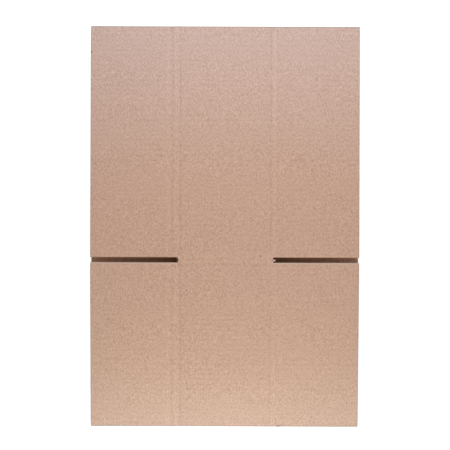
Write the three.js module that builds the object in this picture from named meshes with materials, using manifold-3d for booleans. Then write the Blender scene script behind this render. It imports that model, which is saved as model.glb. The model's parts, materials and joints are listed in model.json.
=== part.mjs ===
// A slotted shipping carton of single-wall board, knocked down and lying flat.
// One blank of four panels is folded over at two scores and closed by a glued lap, so two layers of
// board lie on each other. The upper layer rises a little to its middle score. Four flaps stand out of
// each layer, two on the left and two on the right, each carried by a crushed crease.
// X runs along the flutes, Y along the sheet, Z up. Units are millimetres.
import * as THREE from 'three';
import { mergeVertices } from 'three/addons/utils/BufferGeometryUtils.js';
import Module from 'manifold-3d';

const wasm = await Module();
wasm.setup();

// The blank
const panelLength = 308.5; // long panel, score to score
const panelWidth = 221.5; // short panel, score to score
const wallHeight = 130; // between the two rows of flap creases
const flapDepth = 113.5; // crease to the open edge
const slotWidth = 7; // cut between two flaps
const slotOvercut = { left: 2.7, right: 0.6 }; // how far a slot runs past the crease
const slotTipLength = 1.6; // the small point at the end of a slot
const slotTipWidth = 2.6;

// The board
const boardThickness = 3;
const linerThickness = 0.45;
const mediumThickness = 0.45;
const flutePitch = 6.6;
const fluteFlank = 1.9; // run of one slanting side of a flute
const fluteEdgeWall = 0.8; // board closed up beside a cut edge
const fluteStop = 7; // flutes are crushed shut this far from a crease

// Creases and scores
const creaseHalfWidth = 5.6; // half of the trough on the outside
const creaseFloorHalf = 4.4; // half of its flat floor
const creaseDepth = 0.5;
const crushHalfWidth = 4; // half of the crushed band on the inside
const crushFloorHalf = 0.8;
const crushDepth = 1;
const creaseClearance = 0.3; // between a flap and the sleeve

// How the two layers lie
const ridgeGap = 6.5; // open height between the layers at the middle score
const foldGap = 0.6; // open height left at a fold
const foldBulge = 2.2; // how far a fold stands out past its score
const foldSegments = 12;

// The glued lap
const lapWidth = 35;
const lapTaper = 12; // how much each end of the lap narrows
const lapJog = 4; // run in which the lap steps up by the thickness of the board

// Small lengths that only let one tool body pass through another
const cutPast = 1;
const innerCutPast = 0.2;

// Places worked out from the sizes above
const halfWall = wallHeight / 2;
const yFold = (panelLength + panelWidth) / 2;
const yEdge = yFold + foldBulge;
const yFrontScore = panelWidth - yFold;
const yBackScore = panelLength - yFold;
const yLapEdge = yBackScore + slotWidth / 2;
const yLapEnd = yBackScore + lapWidth;
const zFoldTop = 2 * boardThickness + foldGap;
const zRidge = 2 * boardThickness + ridgeGap;
const shortSlope = Math.atan((zRidge - zFoldTop) / panelWidth);
const longSlope = -Math.atan((zRidge - zFoldTop) / panelLength);

// Solids from outlines

function polygon(points) {
  return new THREE.Shape(points.map(([u, v]) => new THREE.Vector2(u, v)));
}

function prismAlongZ(shape, z0, z1) {
  const prism = new THREE.ExtrudeGeometry(shape, {
    depth: z1 - z0, bevelEnabled: false, curveSegments: foldSegments,
  });
  return prism.translate(0, 0, z0);
}

// The shape is drawn in Y and Z.
function prismAlongX(shape, x0, x1) {
  return prismAlongZ(shape, x0, x1).rotateX(Math.PI / 2).rotateZ(Math.PI / 2);
}

// The shape is drawn in X and Z.
function prismAlongY(shape, y0, y1) {
  return prismAlongZ(shape, -y1, -y0).rotateX(Math.PI / 2);
}

function toSolid(geometry) {
  const bare = geometry.clone();
  bare.deleteAttribute('normal');
  bare.deleteAttribute('uv');
  const merged = mergeVertices(bare, 1e-5);
  return new wasm.Manifold(new wasm.Mesh({
    numProp: 3,
    vertProperties: new Float32Array(merged.attributes.position.array),
    triVerts: new Uint32Array(merged.index.array),
  }));
}

function toGeometry(solid) {
  const mesh = solid.getMesh();
  const geometry = new THREE.BufferGeometry();
  geometry.setAttribute('position', new THREE.BufferAttribute(new Float32Array(mesh.vertProperties), 3));
  geometry.setIndex(new THREE.BufferAttribute(new Uint32Array(mesh.triVerts), 1));
  geometry.computeVertexNormals();
  return geometry;
}

function cutAll(body, cutters) {
  return body.subtract(wasm.Manifold.union(cutters));
}

// A panel's own frame: the outer face is z = 0, the crease is the line x = 0, the board lies below, and
// the flap runs to +X. Turning that frame puts it on either side and on either layer.
const yAxis = new THREE.Vector3(0, 1, 0);

function creaseFrame(layer, side, slope) {
  const frame = new THREE.Group();
  const y = layer === 'front' ? yFrontScore : 0;
  const z = layer === 'front' ? zRidge : 0;
  frame.position.set(side * halfWall, y, z);
  if (layer === 'front') {
    frame.rotation.set(slope, 0, side > 0 ? 0 : Math.PI);
  } else {
    frame.rotation.set(side > 0 ? Math.PI : 0, side > 0 ? 0 : Math.PI, 0);
  }
  frame.updateMatrix();
  return frame;
}

// +1 where the frame's own Y runs with the sheet's Y, and -1 where it runs against it.
function alongSign(frame) {
  return Math.sign(yAxis.clone().applyEuler(frame.rotation).y);
}

function creaseTrough(y0, y1) {
  return prismAlongY(polygon([
    [-creaseFloorHalf, -creaseDepth],
    [creaseFloorHalf, -creaseDepth],
    [creaseHalfWidth, 0],
    [creaseHalfWidth, cutPast],
    [-creaseHalfWidth, cutPast],
    [-creaseHalfWidth, 0],
  ]), y0, y1);
}

function creaseCrush(y0, y1) {
  const face = -boardThickness;
  return prismAlongY(polygon([
    [-crushHalfWidth, face - innerCutPast],
    [crushHalfWidth, face - innerCutPast],
    [crushHalfWidth, face],
    [crushFloorHalf, face + crushDepth],
    [-crushFloorHalf, face + crushDepth],
    [-crushHalfWidth, face],
  ]), y0, y1);
}

// Panels: layer, slope, the stretch of the sheet's Y that the panel covers, and where its flap is cut.
const frontReachShort = (yEdge + yFrontScore) / Math.cos(shortSlope);
const frontReachLong = (yEdge - yFrontScore) / Math.cos(longSlope);
const backEdge = yEdge - slotWidth;
const panels = [
  { name: 'front_long', layer: 'front', slope: longSlope, panel: [0, frontReachLong],
    flap: [slotWidth / 2, frontReachLong] },
  { name: 'front_short', layer: 'front', slope: shortSlope, panel: [-frontReachShort, 0],
    flap: [-frontReachShort, -slotWidth / 2] },
  { name: 'back_long', layer: 'back', slope: 0, panel: [-yFold, yBackScore],
    flap: [-backEdge, yBackScore - slotWidth / 2] },
  { name: 'back_short', layer: 'back', slope: 0, panel: [yLapEdge, yFold],
    flap: [yLapEdge, backEdge] },
];

function ownRange([y0, y1], sign) {
  return sign > 0 ? [y0, y1] : [-y1, -y0];
}

// The sleeve: four panels, two folds and the glued lap, in one piece

// A point of the upper layer, by its distance from the middle score and its depth below the outer face.
function frontPoint(distance, depth) {
  const slope = distance < 0 ? shortSlope : longSlope;
  return [
    yFrontScore + distance * Math.cos(slope) + depth * Math.sin(slope),
    zRidge + distance * Math.sin(slope) - depth * Math.cos(slope),
  ];
}

function sleeveProfile() {
  const jogStart = yBackScore - lapJog / 2;
  const jogEnd = yBackScore + lapJog / 2;
  const bendHeight = zFoldTop / 2;
  const outer = new THREE.Shape();
  outer.moveTo(-yFold, 0);
  outer.lineTo(jogStart, 0);
  outer.lineTo(jogEnd, boardThickness);
  outer.lineTo(yLapEdge, boardThickness);
  outer.lineTo(yLapEdge, 0);
  outer.lineTo(yFold, 0);
  outer.absellipse(yFold, bendHeight, foldBulge, bendHeight, -Math.PI / 2, Math.PI / 2, false, 0);
  outer.lineTo(...frontPoint(creaseHalfWidth, 0));
  outer.lineTo(...frontPoint(creaseFloorHalf, creaseDepth));
  outer.lineTo(...frontPoint(-creaseFloorHalf, creaseDepth));
  outer.lineTo(...frontPoint(-creaseHalfWidth, 0));
  outer.lineTo(-yFold, zFoldTop);
  outer.absellipse(-yFold, bendHeight, foldBulge, bendHeight, Math.PI / 2, Math.PI * 1.5, false, 0);

  const inside = polygon([
    [-yFold, boardThickness],
    [jogStart, boardThickness],
    [jogEnd, 2 * boardThickness],
    [yLapEnd, 2 * boardThickness],
    [yLapEnd, boardThickness],
    [yFold, boardThickness],
    [yFold, boardThickness + foldGap],
    frontPoint(crushHalfWidth, boardThickness),
    frontPoint(crushFloorHalf, boardThickness - crushDepth),
    frontPoint(-crushFloorHalf, boardThickness - crushDepth),
    frontPoint(-crushHalfWidth, boardThickness),
    [-yFold, boardThickness + foldGap],
  ]);
  outer.holes.push(inside);
  return outer;
}

// The end of a slot past the crease, with the small point that the knife leaves in the middle of it.
function slotEnd(side, yMiddle, z0, z1) {
  const xEnd = halfWall - (side < 0 ? slotOvercut.left : slotOvercut.right);
  return prismAlongZ(polygon([
    [side * (halfWall + cutPast), yMiddle - slotWidth / 2],
    [side * (halfWall + cutPast), yMiddle + slotWidth / 2],
    [side * xEnd, yMiddle + slotWidth / 2],
    [side * xEnd, yMiddle + slotTipWidth / 2],
    [side * (xEnd - slotTipLength), yMiddle],
    [side * xEnd, yMiddle - slotTipWidth / 2],
    [side * xEnd, yMiddle - slotWidth / 2],
  ]), z0, z1);
}

// What is cut off each end of the lap, so that it narrows from the slot to its free edge.
function lapEndCut(side) {
  const xStart = halfWall - (side < 0 ? slotOvercut.left : slotOvercut.right);
  const yStart = yBackScore + slotTipWidth / 2;
  return prismAlongZ(polygon([
    [side * (halfWall + cutPast), yStart],
    [side * xStart, yStart],
    [side * (halfWall - lapTaper), yLapEnd + cutPast],
    [side * (halfWall + cutPast), yLapEnd + cutPast],
  ]), boardThickness, 2 * boardThickness + innerCutPast);
}

function sleeveSolid() {
  const end = halfWall - creaseClearance / 2;
  const cutters = [];
  const lapTop = 2 * boardThickness + innerCutPast;
  const foldSlotMiddle = yEdge - slotWidth / 2;
  for (const side of [1, -1]) {
    for (const { layer, slope, panel } of panels) {
      const frame = creaseFrame(layer, side, slope);
      const [y0, y1] = ownRange(panel, alongSign(frame));
      const past = layer === 'front' ? 0 : foldBulge;
      cutters.push(toSolid(creaseTrough(y0 - past, y1 + past).applyMatrix4(frame.matrix)));
      cutters.push(toSolid(creaseCrush(y0 + foldBulge, y1 - foldBulge).applyMatrix4(frame.matrix)));
    }
    cutters.push(toSolid(slotEnd(side, yFrontScore, zRidge / 2 + boardThickness, zRidge + cutPast)));
    cutters.push(toSolid(slotEnd(side, yBackScore, -cutPast, lapTop)));
    cutters.push(toSolid(slotEnd(side, foldSlotMiddle, -cutPast, boardThickness + foldGap / 2)));
    cutters.push(toSolid(slotEnd(side, -foldSlotMiddle, -cutPast, boardThickness + foldGap / 2)));
    cutters.push(toSolid(lapEndCut(side)));
  }
  return cutAll(toSolid(prismAlongX(sleeveProfile(), -end, end)), cutters);
}

// A flap: a plain sheet of board, hollowed by its flutes from the open edge in

function fluteChannel(middle, onOuterSide) {
  const outerLiner = -linerThickness;
  const innerLiner = linerThickness - boardThickness;
  const lean = fluteFlank / 2;
  const halfWeb = mediumThickness / 3;
  const wide = flutePitch / 4 - halfWeb + lean;
  const narrow = flutePitch / 4 - halfWeb - lean;
  const zWide = onOuterSide ? outerLiner : innerLiner;
  const zNarrow = onOuterSide ? innerLiner + mediumThickness : outerLiner - mediumThickness;
  return prismAlongX(polygon([
    [middle - wide, zWide],
    [middle - narrow, zNarrow],
    [middle + narrow, zNarrow],
    [middle + wide, zWide],
  ]), fluteStop, flapDepth + cutPast);
}

function flapSolid(y0, y1) {
  const sheet = toSolid(prismAlongZ(polygon([
    [creaseClearance / 2, y0],
    [flapDepth, y0],
    [flapDepth, y1],
    [creaseClearance / 2, y1],
  ]), -boardThickness, 0));
  const cutters = [
    toSolid(creaseTrough(y0 - cutPast, y1 + cutPast)),
    toSolid(creaseCrush(y0 - cutPast, y1 + cutPast)),
  ];
  const reach = flutePitch / 4 + fluteFlank / 2 + fluteEdgeWall;
  const step = flutePitch / 2;
  const first = Math.ceil((y0 + reach) / step);
  const last = Math.floor((y1 - reach) / step);
  for (let i = first; i <= last; i += 1) {
    cutters.push(toSolid(fluteChannel(i * step, i % 2 === 0)));
  }
  return cutAll(sheet, cutters);
}

// The carton

const kraft = { front: 0xc7a691, back: 0xbf9c86 };

// Flat shading, because a cut sheet's faces meet at sharp edges.
function boardMaterial(layer) {
  return new THREE.MeshStandardMaterial({
    color: kraft[layer], roughness: 0.9, metalness: 0, flatShading: true,
  });
}

const carton = new THREE.Group();

const sleeve = new THREE.Mesh(toGeometry(sleeveSolid()), boardMaterial('front'));
sleeve.name = 'sleeve';
carton.add(sleeve);

for (const { name, layer, slope, flap } of panels) {
  for (const side of [-1, 1]) {
    const frame = creaseFrame(layer, side, slope);
    const [y0, y1] = ownRange(flap, alongSign(frame));
    const mesh = new THREE.Mesh(toGeometry(flapSolid(y0, y1)), boardMaterial(layer));
    mesh.name = `${name}_flap_${side < 0 ? 'left' : 'right'}`;
    frame.add(mesh);
    carton.add(frame);
  }
}

export default carton;
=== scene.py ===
import json
import math

import bpy
from mathutils import Matrix, Vector


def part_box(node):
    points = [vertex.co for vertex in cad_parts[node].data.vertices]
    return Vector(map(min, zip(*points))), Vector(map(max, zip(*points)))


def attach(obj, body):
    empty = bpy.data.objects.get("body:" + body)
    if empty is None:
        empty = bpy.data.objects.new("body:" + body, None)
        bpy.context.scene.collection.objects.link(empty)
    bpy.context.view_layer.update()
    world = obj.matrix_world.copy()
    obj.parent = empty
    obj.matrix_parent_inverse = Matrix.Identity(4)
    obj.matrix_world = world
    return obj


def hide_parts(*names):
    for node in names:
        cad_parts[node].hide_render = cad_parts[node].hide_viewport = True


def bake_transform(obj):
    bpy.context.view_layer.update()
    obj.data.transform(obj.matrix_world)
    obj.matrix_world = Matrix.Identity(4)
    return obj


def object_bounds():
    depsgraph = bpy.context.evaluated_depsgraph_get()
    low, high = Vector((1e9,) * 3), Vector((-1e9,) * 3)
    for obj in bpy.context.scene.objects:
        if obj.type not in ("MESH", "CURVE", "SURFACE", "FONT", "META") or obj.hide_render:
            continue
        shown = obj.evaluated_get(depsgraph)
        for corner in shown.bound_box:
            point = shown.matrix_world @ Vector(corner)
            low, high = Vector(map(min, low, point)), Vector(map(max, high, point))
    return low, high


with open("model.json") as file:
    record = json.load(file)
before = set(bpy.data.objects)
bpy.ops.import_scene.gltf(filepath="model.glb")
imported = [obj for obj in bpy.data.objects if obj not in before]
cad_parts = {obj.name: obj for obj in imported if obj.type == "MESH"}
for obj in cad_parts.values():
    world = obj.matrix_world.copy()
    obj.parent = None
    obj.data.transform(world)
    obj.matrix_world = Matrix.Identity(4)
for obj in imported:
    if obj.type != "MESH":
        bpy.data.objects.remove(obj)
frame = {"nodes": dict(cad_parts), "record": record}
cadLow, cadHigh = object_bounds()
print("frame loaded:", len(frame["nodes"]), "nodes")

# A slotted carton of corrugated board, folded flat. Every size is in metres.
# u runs from a flap's crease to its open edge, v along the crease, and w out of the outer face.

mm = 0.001
mergeDistance = 0.001 * mm
smoothAngle = math.radians(35)

board = {
    "thickness": 3.0 * mm,
    "outerLiner": 0.34 * mm,
    "innerLiner": 0.32 * mm,
    "medium": 0.27 * mm,
    "flutePitch": 6.6 * mm,
    "washDepth": 0.23 * mm,      # how far a liner sinks between two flutes
    "linerSteps": 8,             # rows of faces in one flute
    "mediumSteps": 14,
    "edgePinch": 0.32 * mm,      # how far the knife presses a liner in at a cut edge
    "edgePinchRun": 1.6 * mm,
    "foldTrim": 0.6 * mm,        # a front flap ends this much short of the fold's nose
}

creaseShape = {
    # Each crease has two grooves with a soft bead between them: the middle and half of their distance.
    "left": (-0.2 * mm, 5.3 * mm),
    "right": (0.1 * mm, 4.1 * mm),
    "score": (-2.8 * mm, 3.7 * mm),
    "grooveOuterRun": 1.3 * mm,  # from the plain face down to the line of the groove
    "grooveInnerRun": 1.9 * mm,  # from there up to the bead
    "grooveDepth": 0.50 * mm,
    "beadDepth": 0.12 * mm,
    "crushReach": 4.0 * mm,      # the inner face, as the CAD has it
    "crushFloor": 0.8 * mm,
    "crushDepth": 1.0 * mm,
    "fluteStart": 5.2 * mm,      # where the flutes start to rise out of the crush
    "fluteFull": 9.5 * mm,
    "clearance": 0.15 * mm,      # from the crease to the end of the sleeve or of a flap
    "columns": 8,                # faces across and along the strip of the crease
    "rows": 24,
}


def deselectAll():
    bpy.ops.object.select_all(action="DESELECT")


def makeActive(piece):
    deselectAll()
    piece.select_set(True)
    bpy.context.view_layer.objects.active = piece


def smoothStep(value):
    share = min(1.0, max(0.0, value))
    return share * share * (3 - 2 * share)


def sideName(x):
    return "right" if x > 0 else "left"


def linerSink(u, crease):
    # Depth of the outer face under its own plane: a groove on each side of a soft bead.
    middle, place = creaseShape[crease]
    depth = creaseShape["grooveDepth"]
    distance = abs(u - middle)
    if distance >= place:
        return depth * (1 - smoothStep((distance - place) / creaseShape["grooveOuterRun"]))
    rise = depth - creaseShape["beadDepth"]
    return depth - rise * smoothStep((place - distance) / creaseShape["grooveInnerRun"])


def isInGroove(u, crease):
    middle, place = creaseShape[crease]
    return abs(u - middle) < place + creaseShape["grooveOuterRun"]


def crushRise(u):
    # How far the inner face is pressed up towards the outer one.
    run = creaseShape["crushReach"] - creaseShape["crushFloor"]
    return creaseShape["crushDepth"] * min(1.0, max(0.0, (creaseShape["crushReach"] - abs(u)) / run))


def fluteShare(u):
    start = creaseShape["fluteStart"]
    return smoothStep((abs(u) - start) / (creaseShape["fluteFull"] - start))


def jointNamed(name):
    return next(joint for joint in frame["record"]["behaviour"]["joints"] if joint["name"] == name)


def scorePoint(side):
    # Where the crease of the front layer meets the score between its two panels.
    longHinge = jointNamed("front_long_flap_right_hinge")
    shortHinge = jointNamed("front_short_flap_right_hinge")
    longSlope = longHinge["axis"][2] / longHinge["axis"][1]
    shortSlope = shortHinge["axis"][2] / shortHinge["axis"][1]
    yLong, zLong = longHinge["pos_m"][1:]
    yShort, zShort = shortHinge["pos_m"][1:]
    y = (zShort - zLong + longSlope * yLong - shortSlope * yShort) / (longSlope - shortSlope)
    return Vector((side * abs(longHinge["pos_m"][0]), y, zLong + longSlope * (y - yLong)))


# Shader nodes


def newMaterial(name):
    material = bpy.data.materials.new(name)
    material.use_nodes = True
    return material, material.node_tree.nodes, material.node_tree.links


def addNode(nodes, kind, **settings):
    node = nodes.new(kind)
    for key, value in settings.items():
        setattr(node, key, value)
    return node


def setOrLink(links, socket, value):
    # value is a number, a tuple of numbers or another node's socket.
    if isinstance(value, (int, float, tuple)):
        socket.default_value = value
    else:
        links.new(value, socket)


def addMath(nodes, links, operation, first, second=0.0):
    node = addNode(nodes, "ShaderNodeMath", operation=operation)
    setOrLink(links, node.inputs[0], first)
    setOrLink(links, node.inputs[1], second)
    return node.outputs[0]


def addVector(nodes, links, operation, first, second):
    node = addNode(nodes, "ShaderNodeVectorMath", operation=operation)
    setOrLink(links, node.inputs[0], first)
    setOrLink(links, node.inputs[1], second)
    return node.outputs[0]


def addScaled(nodes, links, vector, factor):
    node = addNode(nodes, "ShaderNodeVectorMath", operation="SCALE")
    setOrLink(links, node.inputs[0], vector)
    setOrLink(links, node.inputs["Scale"], factor)
    return node.outputs[0]


def addLength(nodes, links, vector):
    node = addNode(nodes, "ShaderNodeVectorMath", operation="LENGTH")
    links.new(vector, node.inputs[0])
    return node.outputs["Value"]


def addRange(nodes, links, value, fromMin, fromMax, toMin, toMax):
    node = addNode(nodes, "ShaderNodeMapRange")
    node.inputs["From Min"].default_value = fromMin
    node.inputs["From Max"].default_value = fromMax
    node.inputs["To Min"].default_value = toMin
    node.inputs["To Max"].default_value = toMax
    links.new(value, node.inputs["Value"])
    return node.outputs["Result"]


def addMix(nodes, links, factor, first, second):
    node = addNode(nodes, "ShaderNodeMix", data_type="RGBA")
    links.new(factor, node.inputs["Factor"])
    setOrLink(links, node.inputs["A"], first)
    setOrLink(links, node.inputs["B"], second)
    return node.outputs["Result"]


def addNoise(nodes, links, vector, scale, detail, roughness=0.5):
    node = addNode(nodes, "ShaderNodeTexNoise")
    node.inputs["Scale"].default_value = scale
    node.inputs["Detail"].default_value = detail
    node.inputs["Roughness"].default_value = roughness
    links.new(vector, node.inputs["Vector"])
    return node.outputs["Fac"]


# Kraft paper

kraftLook = {
    "paleColour": (0.718, 0.472, 0.340),
    "darkColour": (0.446, 0.244, 0.158),
    "pinkColour": (0.588, 0.366, 0.270),
    "insideEdgePaintedLight": (1.20, 1.14, 1.08, 1),      # painted light: the liner inside the carton is painted paler at the open edges, where light comes in
    "insideDeepPaintedShade": (0.60, 0.43, 0.27, 1),  # painted shade: darker and browner towards the middle, where shade falls deep between the layers
    "plainShade": (1.0, 1.0, 1.0),
    "mediumShade": (0.84, 0.80, 0.78),
    "tornShade": (1.12, 1.28, 1.40),           # bare fibres are paler and greyer
    "toneRange": (0.68, 1.32),                 # of the grain and the fibres added up
    "grainScale": 560.0,                       # mottling of about 2 mm
    "grainDetail": 3.0,
    "grainRoughness": 0.62,
    "fibreScale": (860.0, 330.0, 860.0),
    "fibreDetail": 3.0,
    "cloudScale": 14.0,
    "cloudDetail": 2.0,
    "cloudRange": (0.35, 0.75),
    "cloudShare": 0.30,                        # of the pink in the pinkest clouds
    "fleckSize": (0.07, 0.11),                 # where a fleck starts to fade and where it ends, in cells
    "darkFleckScale": 260.0,
    "darkFleckShare": 0.40,
    "darkFleckColour": (0.15, 0.085, 0.052, 1),    # of the marks and the painted shadow lines too
    "paleFleckScale": 150.0,
    "paleFleckShare": 0.30,
    "paleFleckColour": (0.86, 0.70, 0.58, 1),
    "roughness": 0.86,
    "specularLevel": 0.28,
    "bumpStrength": 0.30,
    "bumpDistance": 0.12 * mm,
}


def shaded(colourName, shade):
    channels = [channel * factor for channel, factor in zip(kraftLook[colourName], shade)]
    return tuple(channels) + (1.0,)


def addFlecks(nodes, links, position, scale, strength):
    # Specks of fibre at random places, strength at the middle of each and 0 between them.
    flecks = addNode(nodes, "ShaderNodeTexVoronoi")
    flecks.inputs["Scale"].default_value = scale
    links.new(position, flecks.inputs["Vector"])
    return addRange(nodes, links, flecks.outputs["Distance"], *kraftLook["fleckSize"], strength, 0.0)


# Dark marks on the front layer, the two at the left-hand corners painted shadow: the place, half width and
# half length of each.
darkSpotsAndShadows = [
    {"place": (-0.0506, -0.0838), "size": (0.00080, 0.00100)},
    {"place": (-0.0883, -0.1394), "size": (0.00075, 0.00100)},
    {"place": (-0.1026, -0.1738), "size": (0.00095, 0.00095)},
    {"place": (0.0474, -0.0382), "size": (0.00080, 0.00130)},
    {"place": (0.1560, 0.2119), "size": (0.00075, 0.00075)},
    {"place": (-0.1778, 0.2321), "size": (0.00160, 0.00200)},    # darker spots and lines along the cut edges and the folds
    {"place": (-0.1786, -0.2085), "size": (0.00080, 0.01300)},
    {"place": (0.0721, -0.2660), "size": (0.00300, 0.00200)},
    # painted shadow: the edge of a back flap in shade, just beyond the front flap at the corner
    {"place": (-0.1688, 0.2666), "size": (0.00850, 0.00080)},
    {"place": (-0.1690, -0.2666), "size": (0.00850, 0.00080)},
]
markHeight = 13 * mm             # middle of every mark, over the front layer
markReach = 11 * mm              # and how far down it fades out
markEdge = (0.6, 1.1)            # where a mark starts to fade and where it ends, as shares of its size


def addDarkSpotsAndShadows(nodes, links, position):
    # 1 inside any mark, 0 elsewhere.
    result = None
    for mark in darkSpotsAndShadows:
        halfWidth, halfLength = mark["size"]
        centred = addVector(nodes, links, "SUBTRACT", position, (*mark["place"], markHeight))
        scaled = addVector(nodes, links, "MULTIPLY", centred, (1 / halfWidth, 1 / halfLength, 1 / markReach))
        inside = addRange(nodes, links, addLength(nodes, links, scaled), *markEdge, 1.0, 0.0)
        result = inside if result is None else addMath(nodes, links, "MAXIMUM", result, inside)
    return result


# Painted sheen along the sheet, paler and bluer towards both ends where the light glances off it: the place
# in metres, and the tint, which 0.5 leaves as it is.
paintedSheenTints = [
    (-0.255, (0.510, 0.570, 0.610)),
    (-0.18, (0.500, 0.530, 0.545)),
    (-0.02, (0.490, 0.505, 0.525)),
    (0.07, (0.490, 0.510, 0.545)),
    (0.255, (0.495, 0.570, 0.700)),
]


# Painted sheen: tints the sheet paler and bluer towards both ends.
def addPaintedSheen(nodes, links, place, colour):
    reach = cadHigh[1]
    ramp = addNode(nodes, "ShaderNodeValToRGB")
    elements = ramp.color_ramp.elements
    elements[0].color = (*paintedSheenTints[0][1], 1)
    elements[1].color = (*paintedSheenTints[-1][1], 1)
    for spot, tint in paintedSheenTints:
        elements.new(0.5 + spot / reach / 2).color = (*tint, 1)
    links.new(addRange(nodes, links, place["Y"], -reach, reach, 0.0, 1.0), ramp.inputs["Fac"])
    tinted = addVector(nodes, links, "MULTIPLY", colour, ramp.outputs["Color"])
    return addScaled(nodes, links, tinted, 2.0)


# How pale or dark the liner is painted along each crease, the dark lines painted shade in the grooves and the
# pale stripes partly rubbed liner and partly painted light on the bead: millimetres out from the crease, and
# tone.
creaseTones = {
    "left": [
        (-7.8, 0.0), (-5.5, -0.6), (-3.4, 0.1), (1.0, 0.4),
        (3.2, 0.0), (5.1, -0.5), (7.5, 0.2), (10.2, 0.4),
    ],
    "right": [(-5.9, 0.0), (-4.0, -0.6), (-1.9, 0.2), (1.4, 0.6), (4.1, -0.1), (7.0, 0.0)],
    "score": [(-9.5, 0.0), (-6.5, -0.15), (-4.4, 0.1), (-2.4, 0.5), (0.9, 0.0), (4.0, 0.5), (6.6, 0.0)],
}
creaseShadeAndRub = {
    "reach": 14 * mm,            # of the tones, on each side of a crease
    "lowerShare": 0.45,          # how much of the right crease's tone is left below the score
    "lowerFade": 20 * mm,        # how far from the score it changes over
    "frontStart": 4.5 * mm,      # the score's tone is on the front layer, from this height
    "frontFull": 5.5 * mm,
    "cloudRange": (0.3, 0.7),    # of the paper's clouds, which make the tone uneven
    "strength": (0.10, 0.26),    # the weakest and strongest tone along a crease
    "bandStrength": 0.010,       # how much darker the crests of the flutes are
}


def addToneRamp(nodes, links, distance, stops):
    # 0 leaves the paper as it is.
    reach = creaseShadeAndRub["reach"]
    ramp = addNode(nodes, "ShaderNodeValToRGB")
    ramp.color_ramp.interpolation = "EASE"
    elements = ramp.color_ramp.elements
    for element in elements:
        element.color = (0.5, 0.5, 0.5, 1)
    for place, tone in stops:
        grey = 0.5 + tone / 2
        elements.new(0.5 + place * mm / reach / 2).color = (grey, grey, grey, 1)
    links.new(addRange(nodes, links, distance, -reach, reach, 0.0, 1.0), ramp.inputs["Fac"])
    return addMath(nodes, links, "SUBTRACT", ramp.outputs["Color"], 0.5)


def addCreaseTone(nodes, links, place, cloud):
    # 1 on plain board, more where the liner is rubbed pale and painted light on the bead, and less where
    # shade is painted along a groove.
    score = scorePoint(1)
    leftward = addMath(nodes, links, "SUBTRACT", -score.x, place["X"])
    rightward = addMath(nodes, links, "SUBTRACT", place["X"], score.x)
    upward = addMath(nodes, links, "SUBTRACT", place["Y"], score.y)
    leftTone = addToneRamp(nodes, links, leftward, creaseTones["left"])
    rightTone = addToneRamp(nodes, links, rightward, creaseTones["right"])
    scoreTone = addToneRamp(nodes, links, upward, creaseTones["score"])
    fade = creaseShadeAndRub["lowerFade"]
    rightShare = addRange(nodes, links, upward, -fade, fade, creaseShadeAndRub["lowerShare"], 1.0)
    isFront = addRange(nodes, links, place["Z"], creaseShadeAndRub["frontStart"], creaseShadeAndRub["frontFull"], 0.0, 1.0)
    sides = addMath(nodes, links, "ADD", leftTone, addMath(nodes, links, "MULTIPLY", rightTone, rightShare))
    total = addMath(nodes, links, "ADD", sides, addMath(nodes, links, "MULTIPLY", scoreTone, isFront))
    uneven = addRange(nodes, links, cloud, *creaseShadeAndRub["cloudRange"], *creaseShadeAndRub["strength"])
    creases = addMath(nodes, links, "MULTIPLY", total, uneven)

    # The flutes show through as faint bands, along the crests that the liner is glued to.
    turns = addMath(nodes, links, "MULTIPLY", upward, 2 * math.pi / board["flutePitch"])
    wave = addMath(nodes, links, "COSINE", turns)
    bands = addMath(nodes, links, "MULTIPLY", wave, creaseShadeAndRub["bandStrength"])
    return addMath(nodes, links, "ADD", 1.0, addMath(nodes, links, "SUBTRACT", creases, bands))


cutEdges = {
    "colour": (0.345, 0.305, 0.285, 1),
    "openEdge": (1.3 * mm, 0.2 * mm),    # how far in from the edge the grey starts, and where it is full
    "openEdgeShare": 0.75,
    "fold": (2.4 * mm, 1.3 * mm),
    "foldShare": 0.80,
    "slotStart": (-2.0 * mm, 1.0 * mm),  # the lips of a slot, from the crease outwards
    "lipHeight": (8.5 * mm, 9.5 * mm),   # and on the front layer only
    "lipCore": 0.2 * mm,                 # half width of the middle of a lip, at its full share
}

# Painted light and shade along the lips of the slots, a highlight on the lower lip and shade on the upper:
# the place and reach of each band from the score, its share and colour.
slotLipLightAndShade = [
    {"place": -4.3 * mm, "reach": 1.3 * mm, "share": 0.75, "colour": (0.560, 0.470, 0.400, 1)},    # painted highlight, where the pinched lower edge catches the light
    # painted shade on the upper lip
    {"place": 3.5 * mm, "reach": 0.9 * mm, "share": 0.70, "colour": (0.260, 0.120, 0.050, 1)},
]


def addEdgeShare(nodes, links, distance, high, edge, share):
    # 0 on the plain sheet, and share within a little of the edge.
    start, full = edge
    return addRange(nodes, links, distance, high - start, high - full, 0.0, share)


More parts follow.
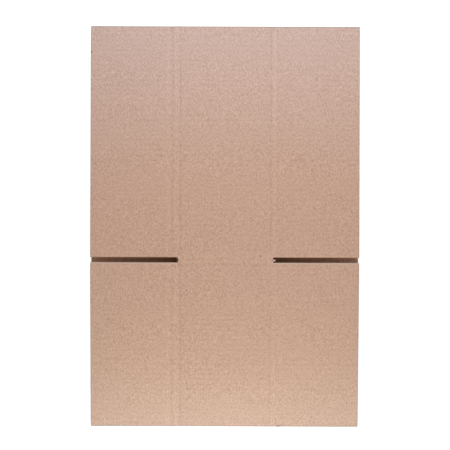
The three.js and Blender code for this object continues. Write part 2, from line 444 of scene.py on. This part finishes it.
def addCutEdges(nodes, links, place, colour):
    # Open edges and folds are painted greyer and darker; a painted highlight runs along the lower lip of each
    # slot and painted shade along the upper one.
    across = addMath(nodes, links, "ABSOLUTE", place["X"])
    along = addMath(nodes, links, "ABSOLUTE", place["Y"])
    side = addEdgeShare(nodes, links, across, cadHigh[0], cutEdges["openEdge"], cutEdges["openEdgeShare"])
    end = addEdgeShare(nodes, links, along, cadHigh[1], cutEdges["fold"], cutEdges["foldShare"])
    edged = addMix(nodes, links, addMath(nodes, links, "MAXIMUM", side, end), colour, cutEdges["colour"])
    score = scorePoint(1)
    slotStart, slotFull = cutEdges["slotStart"]
    isFlap = addRange(nodes, links, across, score.x + slotStart, score.x + slotFull, 0.0, 1.0)
    isTop = addRange(nodes, links, place["Z"], *cutEdges["lipHeight"], 0.0, 1.0)
    isLip = addMath(nodes, links, "MULTIPLY", isFlap, isTop)
    for lip in slotLipLightAndShade:
        fromLip = addMath(nodes, links, "SUBTRACT", place["Y"], score.y + lip["place"])
        distance = addMath(nodes, links, "ABSOLUTE", fromLip)
        share = addRange(nodes, links, distance, cutEdges["lipCore"], lip["reach"], lip["share"], 0.0)
        edged = addMix(nodes, links, addMath(nodes, links, "MULTIPLY", share, isLip), edged, lip["colour"])
    return edged


def addPaintedInsideShade(nodes, links, place, colour):
    # Painted light and shade on the inside of the carton: paler at the open edges of the flaps, darker and
    # browner towards the middle of the sleeve.
    across = addMath(nodes, links, "ABSOLUTE", place["X"])
    depth = addRange(nodes, links, across, scorePoint(1).x, cadHigh[0], 1.0, 0.0)
    tint = addMix(nodes, links, depth, kraftLook["insideEdgePaintedLight"], kraftLook["insideDeepPaintedShade"])
    return addVector(nodes, links, "MULTIPLY", colour, tint)


def kraftMaterial(name, shade, paintsInsideShade=False):
    # shade multiplies the colour of the whole sheet; the inside liner also gets painted light and shade.
    look = kraftLook
    material, nodes, links = newMaterial(name)
    shader = nodes["Principled BSDF"]
    shader.inputs["Roughness"].default_value = look["roughness"]
    shader.inputs["Specular IOR Level"].default_value = look["specularLevel"]
    position = addNode(nodes, "ShaderNodeTexCoord").outputs["Object"]
    split = addNode(nodes, "ShaderNodeSeparateXYZ")
    links.new(position, split.inputs[0])
    place = split.outputs

    grain = addNoise(nodes, links, position, look["grainScale"], look["grainDetail"], look["grainRoughness"])
    stretched = addNode(nodes, "ShaderNodeMapping")
    stretched.inputs["Scale"].default_value = look["fibreScale"]
    links.new(position, stretched.inputs["Vector"])
    fibres = addNoise(nodes, links, stretched.outputs[0], 1.0, look["fibreDetail"])
    paper = addMath(nodes, links, "ADD", grain, fibres)
    tone = addRange(nodes, links, paper, *look["toneRange"], 0.0, 1.0)
    colour = addMix(nodes, links, tone, shaded("darkColour", shade), shaded("paleColour", shade))

    cloud = addNoise(nodes, links, position, look["cloudScale"], look["cloudDetail"])
    cloudShare = addRange(nodes, links, cloud, *look["cloudRange"], 0.0, look["cloudShare"])
    colour = addMix(nodes, links, cloudShare, colour, shaded("pinkColour", shade))
    colour = addPaintedSheen(nodes, links, place, colour)
    colour = addScaled(nodes, links, colour, addCreaseTone(nodes, links, place, cloud))
    colour = addCutEdges(nodes, links, place, colour)
    # painted light and shade inside the carton: paler at the open edges, darker towards the middle
    if paintsInsideShade:
        colour = addPaintedInsideShade(nodes, links, place, colour)

    darkFlecks = addFlecks(nodes, links, position, look["darkFleckScale"], look["darkFleckShare"])
    dark = addMath(nodes, links, "MAXIMUM", darkFlecks, addDarkSpotsAndShadows(nodes, links, position))
    colour = addMix(nodes, links, dark, colour, look["darkFleckColour"])
    paleFlecks = addFlecks(nodes, links, position, look["paleFleckScale"], look["paleFleckShare"])
    colour = addMix(nodes, links, paleFlecks, colour, look["paleFleckColour"])
    links.new(colour, shader.inputs["Base Color"])

    bump = addNode(nodes, "ShaderNodeBump")
    bump.inputs["Strength"].default_value = look["bumpStrength"]
    bump.inputs["Distance"].default_value = look["bumpDistance"]
    links.new(paper, bump.inputs["Height"])
    links.new(bump.outputs[0], shader.inputs["Normal"])
    return material


linerMaterial = kraftMaterial("kraftLiner", kraftLook["plainShade"])
paintedShadeInsideMaterial = kraftMaterial("insideLinerPaintedShade", kraftLook["plainShade"], paintsInsideShade=True)
mediumMaterial = kraftMaterial("flutedMedium", kraftLook["mediumShade"])
tornMaterial = kraftMaterial("tornFibres", kraftLook["tornShade"])
print("materials made")


# Sheets of board


def cutAlong(place, normal, **settings):
    bpy.ops.mesh.select_all(action="SELECT")
    bpy.ops.mesh.bisect(plane_co=place, plane_no=normal, **settings)


def trimAcross(low, high):
    bpy.ops.object.mode_set(mode="EDIT")
    cutAlong((0, low, 0), (0, 1, 0), clear_inner=True)
    cutAlong((0, high, 0), (0, 1, 0), clear_outer=True)
    bpy.ops.object.mode_set(mode="OBJECT")


def applyModifier(piece, kind, **settings):
    modifier = piece.modifiers.new(kind.lower(), kind)
    for key, value in settings.items():
        setattr(modifier, key, value)
    bpy.ops.object.modifier_apply(modifier=modifier.name)


def addFlutedSheet(name, columns, steps, low, high, height, thickness, offset, material):
    # One flute is modelled, repeated along v, cut to the flap's width, shaped and given its thickness.
    pitch = board["flutePitch"]
    firstFlute = math.floor(low / pitch)
    fluteCount = math.ceil(high / pitch) - firstFlute
    deselectAll()
    bpy.ops.mesh.primitive_grid_add(x_subdivisions=len(columns) - 1, y_subdivisions=steps, size=1)
    sheet = bpy.context.object
    sheet.name = name
    for vertex in sheet.data.vertices:
        column = round((vertex.co.x + 0.5) * (len(columns) - 1))
        vertex.co.x = columns[column]
        vertex.co.y = (vertex.co.y + 0.5 + firstFlute) * pitch
    applyModifier(sheet, "ARRAY", count=fluteCount, use_relative_offset=False, use_constant_offset=True,
                  constant_offset_displace=(0, pitch, 0), use_merge_vertices=True,
                  merge_threshold=mergeDistance)
    trimAcross(low, high)
    for vertex in sheet.data.vertices:
        vertex.co.z = height(vertex.co.x, vertex.co.y)
    applyModifier(sheet, "SOLIDIFY", thickness=thickness, offset=offset)
    sheet.data.materials.clear()
    sheet.data.materials.append(material)
    return sheet


def joinPieces(pieces, name):
    deselectAll()
    for piece in pieces:
        piece.select_set(True)
    bpy.context.view_layer.objects.active = pieces[0]
    bpy.ops.object.join()
    pieces[0].name = name
    pieces[0].data.name = name
    return pieces[0]


def placeInFrame(piece, matrix):
    makeActive(piece)
    piece.matrix_world = matrix
    bpy.ops.object.transform_apply(location=True, rotation=True, scale=True)


# Flaps

flapShape = {
    # Columns of points, in millimetres from the crease.
    "linerColumns": [0.15, 0.8, 1.5, 2.2, 2.9, 3.6, 4.3, 5.0, 5.7, 6.4, 7.1, 8.2, 9.8, 12.0],
    "mediumColumns": [0.15, 2.2, 3.6, 4.6, 5.2, 5.9, 7.1, 8.2, 9.8, 12.0],
    "middleColumns": 4,          # columns between the crushed stretch and the open edge
}


def columnsTo(depth, nearColumns):
    columns = [value * mm for value in nearColumns]
    start = columns[-1]
    count = flapShape["middleColumns"]
    return columns + [start + (depth - start) * step / count for step in range(1, count + 1)]


def creaseFrame(joint):
    # The hinge runs along the crease, in the plane of the outer face.
    place = Vector(joint["pos_m"])
    side = 1 if place.x > 0 else -1
    uAxis = Vector((side, 0, 0))
    vAxis = -Vector(joint["axis"])
    wAxis = uAxis.cross(vAxis)
    matrix = Matrix((uAxis, vAxis, wAxis)).transposed().to_4x4()
    isFront = place.z > board["thickness"]
    matrix.translation = scorePoint(side) if isFront else Vector((place.x, 0, 0))
    return matrix


def nodeExtent(node, matrix):
    # The highest u, and the lowest and highest v of a CAD node.
    inverse = matrix.inverted()
    points = [inverse @ vertex.co for vertex in frame["nodes"][node].data.vertices]
    return max(p.x for p in points), min(p.y for p in points), max(p.y for p in points)


def edgePinch(v, low, high):
    distance = min(v - low, high - v)
    return board["edgePinch"] * (1 - min(1.0, distance / board["edgePinchRun"])) ** 2


def makeFlap(node, joint):
    matrix = creaseFrame(joint)
    crease = sideName(matrix.translation.x)
    depth, low, high = nodeExtent(node, matrix)
    if node.startswith("front"):
        if abs((matrix @ Vector((0, high, 0))).y) > abs((matrix @ Vector((0, low, 0))).y):
            high -= board["foldTrim"]
        else:
            low += board["foldTrim"]
    columns = columnsTo(depth, flapShape["linerColumns"])
    mediumColumns = columnsTo(depth, flapShape["mediumColumns"])
    turn = 2 * math.pi / board["flutePitch"]
    wash = board["washDepth"] / 2

    def outerHeight(u, v):
        wave = wash * fluteShare(u) * (1 + math.cos(turn * v))
        return -linerSink(u, crease) - wave - edgePinch(v, low, high)

    def innerHeight(u, v):
        wave = wash * fluteShare(u) * (1 - math.cos(turn * v))
        return -board["thickness"] + crushRise(u) + wave + edgePinch(v, low, high)

    def mediumHeight(u, v):
        pinch = edgePinch(v, low, high)
        top = -linerSink(u, crease) - board["outerLiner"] - board["medium"] / 2 - pinch
        bottom = -board["thickness"] + crushRise(u) + board["innerLiner"] + board["medium"] / 2 + pinch
        return (top + bottom) / 2 - (top - bottom) / 2 * fluteShare(u) * math.cos(turn * v)

    outer = addFlutedSheet("outer", columns, board["linerSteps"], low, high, outerHeight,
                           board["outerLiner"], -1, linerMaterial)
    inner = addFlutedSheet("inner", columns, board["linerSteps"], low, high, innerHeight,
                           board["innerLiner"], 1, paintedShadeInsideMaterial)
    medium = addFlutedSheet("medium", mediumColumns, board["mediumSteps"], low, high, mediumHeight,
                            board["medium"], 0, mediumMaterial)
    flap = joinPieces([outer, inner, medium], node + "_board")
    placeInFrame(flap, matrix)
    bpy.ops.object.shade_smooth_by_angle(angle=smoothAngle)
    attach(flap, node)
    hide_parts(node)
    return matrix, low, high


def makeCrease(node, matrix, low, high):
    # The strip of crushed board between the sleeve and a flap, along the crease.
    reach = creaseShape["clearance"]
    side = sideName(matrix.translation.x)
    bottom = -board["thickness"] + creaseShape["crushDepth"]
    deselectAll()
    bpy.ops.mesh.primitive_grid_add(x_subdivisions=creaseShape["columns"], y_subdivisions=creaseShape["rows"],
                                    size=1)
    crease = bpy.context.object
    crease.name = node + "_crease"
    for vertex in crease.data.vertices:
        vertex.co.x *= 2 * reach
        vertex.co.y = low + (high - low) * (vertex.co.y + 0.5)
        vertex.co.z = -linerSink(vertex.co.x, side)
    applyModifier(crease, "SOLIDIFY", thickness=-linerSink(0, side) - bottom, offset=-1)
    crease.data.materials.append(linerMaterial)
    placeInFrame(crease, matrix)
    bpy.ops.object.shade_smooth_by_angle(angle=smoothAngle)
    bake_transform(crease)


flapJoints = frame["record"]["behaviour"]["joints"]
for flapJoint in flapJoints:
    flapNode = flapJoint["child"]
    flapMatrix, flapLow, flapHigh = makeFlap(flapNode, flapJoint)
    makeCrease(flapNode, flapMatrix, flapLow, flapHigh)
print("flaps and creases made:", len(flapJoints))


# Sleeve

sleeveShape = {
    # Columns of points, in millimetres from the crease.
    "creaseColumns": [0.8, 1.5, 2.2, 2.9, 3.6, 4.3, 5.0, 5.7, 6.4, 7.1, 8.2, 9.8],
    "flatAngle": math.radians(0.3),      # faces that turn by less become one before the cuts
    "scoreStep": 0.5 * mm,
    "scoreReach": 9.0 * mm,
    "scoreRidgeStart": 5.9 * mm,         # where the flutes start to show beside the score
    "scoreRidgeRun": 3.0 * mm,
    "noseLength": 2.0 * mm,              # of a fold, which stays as the CAD has it
    "ridgeEnd": 4.0 * mm,                # from the end of a fold to the last of the flutes
    "ridgeFade": 6.0 * mm,
    "foldTop": 6.6 * mm,                 # height of the front face where it goes over into a fold
    "insideDepth": 2.5 * mm,             # a face deeper than this under both outer faces is inside
    "tolerance": 0.03 * mm,
}


def makeSleeve():
    score = scorePoint(1)
    low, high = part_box("sleeve")
    sleeve = bpy.data.objects.new("sleeve_board", frame["nodes"]["sleeve"].data.copy())
    bpy.context.collection.objects.link(sleeve)
    sleeve.data.materials.clear()
    sleeve.data.materials.append(linerMaterial)
    sleeve.data.materials.append(paintedShadeInsideMaterial)
    makeActive(sleeve)
    bpy.ops.object.mode_set(mode="EDIT")
    bpy.ops.mesh.select_all(action="SELECT")
    bpy.ops.mesh.remove_doubles(threshold=mergeDistance)
    bpy.ops.mesh.dissolve_limited(angle_limit=sleeveShape["flatAngle"])
    step = board["flutePitch"] / board["linerSteps"]
    ridgeRows = [low[1] + step * (index + 0.5) for index in range(int((high[1] - low[1]) / step))]
    reach, scoreStep = sleeveShape["scoreReach"], sleeveShape["scoreStep"]
    scoreRows = [score.y - reach + scoreStep * index for index in range(int(2 * reach / scoreStep) + 1)]
    for row in ridgeRows + scoreRows:
        cutAlong((0, row, 0), (0, 1, 0))
    for side in (-1, 1):
        for column in sleeveShape["creaseColumns"]:
            cutAlong((side * (score.x - column * mm), 0, 0), (1, 0, 0))
    bpy.ops.object.mode_set(mode="OBJECT")
    shapeSleeve(sleeve, score, high)
    paintInside(sleeve, score, high)
    sleeve = joinPieces([sleeve, makeTornFlake(score)], "sleeve_board")
    bpy.ops.object.shade_smooth_by_angle(angle=smoothAngle)
    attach(sleeve, "sleeve")
    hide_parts("sleeve")


cadTrough = {
    # The plain trough that the CAD has at each crease.
    "half": 5.6 * mm,
    "floorHalf": 4.4 * mm,
    "depth": 0.5 * mm,
}


def cadSink(distance):
    run = cadTrough["half"] - cadTrough["floorHalf"]
    return cadTrough["depth"] * min(1.0, max(0.0, (cadTrough["half"] - distance) / run))


def slopeOf(name):
    axis = jointNamed(name)["axis"]
    return math.atan(axis[2] / axis[1])


def shapeSleeve(sleeve, score, high):
    # Moves the outer faces from the CAD's plain troughs to grooved creases and ridged liners.
    longSlope = slopeOf("front_long_flap_right_hinge")
    shortSlope = slopeOf("front_short_flap_right_hinge")
    turn = 2 * math.pi / board["flutePitch"]
    wash = board["washDepth"] / 2
    tolerance = sleeveShape["tolerance"]
    for vertex in sleeve.data.vertices:
        x, y, z = vertex.co
        if abs(y) >= high[1] - sleeveShape["noseLength"]:
            continue
        u = abs(x) - score.x
        v = y - score.y
        side = sideName(x)
        toFold = high[1] - sleeveShape["ridgeEnd"] - abs(y)
        fade = fluteShare(u) * smoothStep(toFold / sleeveShape["ridgeFade"])
        slope = longSlope if v > 0 else shortSlope
        depth = (score.z + v * math.tan(slope) - z) * math.cos(slope)
        cadDepth = max(cadSink(abs(u)), cadSink(abs(v)))
        if abs(depth - cadDepth) < tolerance:    # the front layer's outer face
            fade *= smoothStep((abs(v) - sleeveShape["scoreRidgeStart"]) / sleeveShape["scoreRidgeRun"])
            if cadDepth > 0 or isInGroove(u, side) or isInGroove(v, "score"):
                vertex.co.z = z + depth - max(linerSink(u, side), linerSink(v, "score"))
            vertex.co.z -= wash * fade * (1 + math.cos(turn * v))
        elif abs(z - cadSink(abs(u))) < tolerance:    # the back layer's
            if cadSink(abs(u)) > 0 or isInGroove(u, side):
                vertex.co.z = linerSink(u, side)
            vertex.co.z += wash * fade * (1 + math.cos(turn * y))


def paintInside(sleeve, score, high):
    # Gives the faces between the two layers the liner of the inside, with its painted light and shade.
    depth = sleeveShape["insideDepth"]
    for face in sleeve.data.polygons:
        _, y, z = face.center
        run = high[1] - score.y if y > score.y else high[1] + score.y
        roof = score.z + (sleeveShape["foldTop"] - score.z) * abs(y - score.y) / run
        if depth < z < roof - depth and abs(y) < high[1] - sleeveShape["noseLength"]:
            face.material_index = 1


flake = {
    # A scrap of liner that the knife left at the end of the right-hand slot.
    "length": 3.6 * mm,
    "width": 3.4 * mm,
    "columns": 8,
    "rows": 6,
    "start": (-0.6 * mm, -0.9 * mm, -0.75 * mm),   # from the end of the slot, at the outer face
    "thickness": 0.25 * mm,
    "curl": 1.0 * mm,            # how far its free end hangs down
    "bulge": 0.3 * mm,           # how far it bows up first
    "narrowing": 0.5,            # of its width, towards the free end
    "sideNicks": 0.22,           # depth of the nicks in its ragged sides, as a share of its width
    "sideTurns": 9,              # and how closely they follow one another
    "endNicks": 0.18,
    "endTurns": 11,
    "turn": 24,                  # degrees
}


def makeTornFlake(score):
    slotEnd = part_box("sleeve")[1][0]
    deselectAll()
    bpy.ops.mesh.primitive_grid_add(x_subdivisions=flake["columns"], y_subdivisions=flake["rows"], size=1)
    scrap = bpy.context.object
    scrap.name = "tornFlake"
    for vertex in scrap.data.vertices:
        share = vertex.co.x + 0.5
        nicks = flake["sideNicks"] * (math.cos(flake["sideTurns"] * share + 2) - 1)
        ragged = 1 + nicks - flake["narrowing"] * share * share
        endNicks = flake["endNicks"] * math.sin(flake["endTurns"] * vertex.co.y)
        vertex.co.x = flake["length"] * share * (1 + endNicks)
        vertex.co.y *= flake["width"] * ragged
        vertex.co.z = flake["bulge"] * math.sin(3 * share) - flake["curl"] * share * share
    applyModifier(scrap, "SOLIDIFY", thickness=flake["thickness"], offset=-1)
    scrap.data.materials.append(tornMaterial)
    turned = Matrix.Rotation(math.radians(flake["turn"]), 4, "Z")
    turned.translation = Vector((slotEnd, score.y, score.z)) + Vector(flake["start"])
    placeInFrame(scrap, turned)
    return scrap


makeSleeve()
print("sleeve made")


# Floor, lights and camera

stage = {
    "floorSize": 6.0,
    "floorDrop": 0.2 * mm,       # under the carton
    "floorColour": (0.86, 0.86, 0.86, 1),
    "floorRoughness": 0.9,
    "floorSpecular": 0.1,
    "floorGlow": 0.62,           # what the floor adds to its own light where the camera looks at it
    "farGlow": 1.0,              # and far from the carton, where the lamps fade
    "glowRange": (0.6, 1.6),
    "worldLight": 0.32,
    "white": (1, 1, 1, 1),
}


def makeFloor():
    deselectAll()
    bpy.ops.mesh.primitive_plane_add(size=stage["floorSize"], location=(0, 0, -stage["floorDrop"]))
    floor = bpy.context.object
    floor.name = "floor"
    material, nodes, links = newMaterial("whitePaper")
    shader = nodes["Principled BSDF"]
    shader.inputs["Base Color"].default_value = stage["floorColour"]
    shader.inputs["Roughness"].default_value = stage["floorRoughness"]
    shader.inputs["Specular IOR Level"].default_value = stage["floorSpecular"]
    shader.inputs["Emission Color"].default_value = stage["white"]
    away = addLength(nodes, links, addNode(nodes, "ShaderNodeTexCoord").outputs["Object"])
    glow = addRange(nodes, links, away, *stage["glowRange"], stage["floorGlow"], stage["farGlow"])
    rays = addNode(nodes, "ShaderNodeLightPath")
    seen = addMath(nodes, links, "MULTIPLY", rays.outputs["Is Camera Ray"], glow)
    links.new(seen, shader.inputs["Emission Strength"])
    floor.data.materials.append(material)


def makeWorld():
    # Seen directly or in a gloss the world is white, and it lights the carton at a lower level.
    world = bpy.context.scene.world or bpy.data.worlds.new("studio")
    bpy.context.scene.world = world
    world.use_nodes = True
    nodes, links = world.node_tree.nodes, world.node_tree.links
    background = nodes["Background"]
    background.inputs["Color"].default_value = stage["white"]
    rays = addNode(nodes, "ShaderNodeLightPath").outputs
    seen = addMath(nodes, links, "MAXIMUM", rays["Is Camera Ray"], rays["Is Glossy Ray"])
    strength = addRange(nodes, links, seen, 0.0, 1.0, stage["worldLight"], 1.0)
    links.new(strength, background.inputs["Strength"])


lamps = [
    {"name": "topLamp", "place": (0.05, 0.45, 0.50), "aim": (0, 0, 0),
     "size": (0.70, 0.35), "power": 2.80},
    {"name": "bottomLamp", "place": (0.03, -0.45, 0.50), "aim": (0, 0, 0),
     "size": (0.70, 0.35), "power": 1.10},
    {"name": "bottomEdgeLamp", "place": (0, -0.38, 0.17), "aim": (0, -0.2, 0),
     "size": (0.50, 0.15), "power": 0.385},
]


def makeLamps():
    for lamp in lamps:
        deselectAll()
        place = Vector(lamp["place"])
        bpy.ops.object.light_add(type="AREA", location=place)
        light = bpy.context.object
        light.name = lamp["name"]
        light.rotation_euler = (Vector(lamp["aim"]) - place).to_track_quat("-Z", "Y").to_euler()
        light.visible_camera = False
        light.data.shape = "RECTANGLE"
        light.data.size, light.data.size_y = lamp["size"]
        light.data.energy = lamp["power"]


cameraShape = {
    "distance": 1.05,
    "fieldOfView": 31.85,        # degrees, over the square frame
    "lean": 0.86,                # degrees off straight down, towards the upper fold
    "roll": 0.19,
    "aim": (0.0002, 0.0030, 0.0070),
}


def makeCamera():
    lean = math.radians(cameraShape["lean"])
    away = Vector((0, math.sin(lean), math.cos(lean))) * cameraShape["distance"]
    turned = (-lean, 0, math.radians(cameraShape["roll"]))
    deselectAll()
    bpy.ops.object.camera_add(location=Vector(cameraShape["aim"]) + away, rotation=turned)
    camera = bpy.context.object
    camera.name = "camera"
    camera.data.angle = math.radians(cameraShape["fieldOfView"])
    bpy.context.scene.camera = camera


makeFloor()
makeWorld()
makeLamps()
makeCamera()
bpy.context.scene.view_settings.view_transform = "Standard"
print("stage made")
